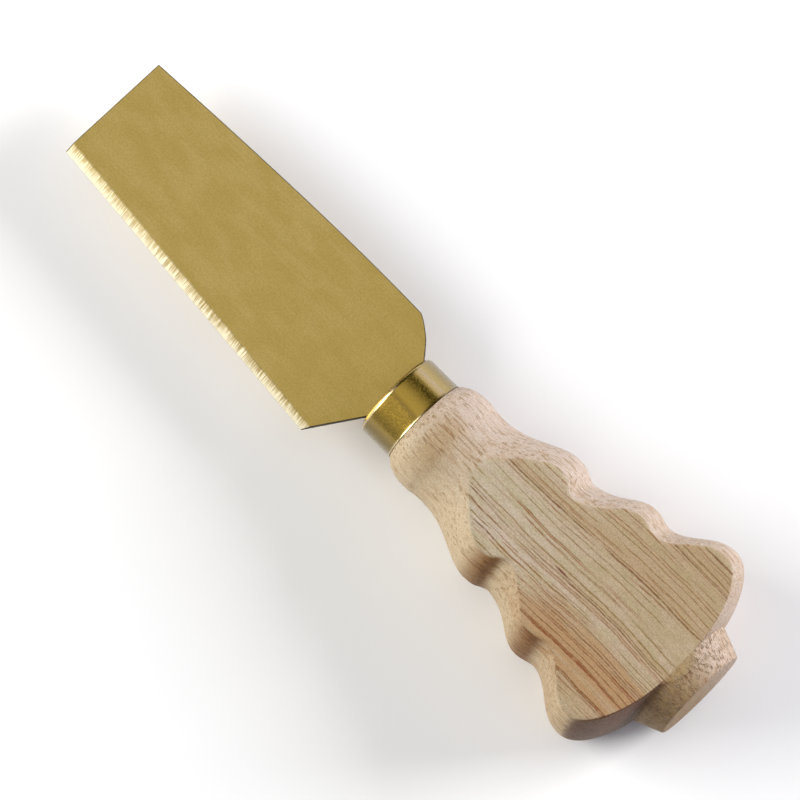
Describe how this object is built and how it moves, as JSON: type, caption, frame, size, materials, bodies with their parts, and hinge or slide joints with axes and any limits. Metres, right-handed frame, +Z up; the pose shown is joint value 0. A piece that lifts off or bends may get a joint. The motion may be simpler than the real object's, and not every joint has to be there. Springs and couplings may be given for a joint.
{
  "type": "cheese knife",
  "caption": "Small cheese knife: flat square-ended gold-tone steel blade, gold-tone ferrule, and a hardwood handle turned as a fir tree with flat faces.",
  "frame": {"origin": "under the middle of the knife's bounding box, on the plane of the handle's lower flat", "axes": "+X runs from the butt to the blade's tip, +Y points to the side of the cutting edge, +Z points up from the handle's lower flat to its upper flat, on the side of the ground bevel"},
  "size_m": [0.1406, 0.0424, 0.0204],
  "materials": {
    "gold_steel": "gold-tone coated stainless sheet, brushed along its length, with a plain ground bevel",
    "gold_brass": "drawn and lightly polished, gold tone",
    "hardwood": "pale rubberwood, turned and sanded, oiled without gloss",
    "epoxy": "cast cream epoxy, hidden inside the handle"
  },
  "bodies": {
    "root": {"blade": "gold_steel", "ferrule": "gold_brass", "handle": "hardwood", "tang_epoxy": "epoxy"}
  },
  "joints": []
}
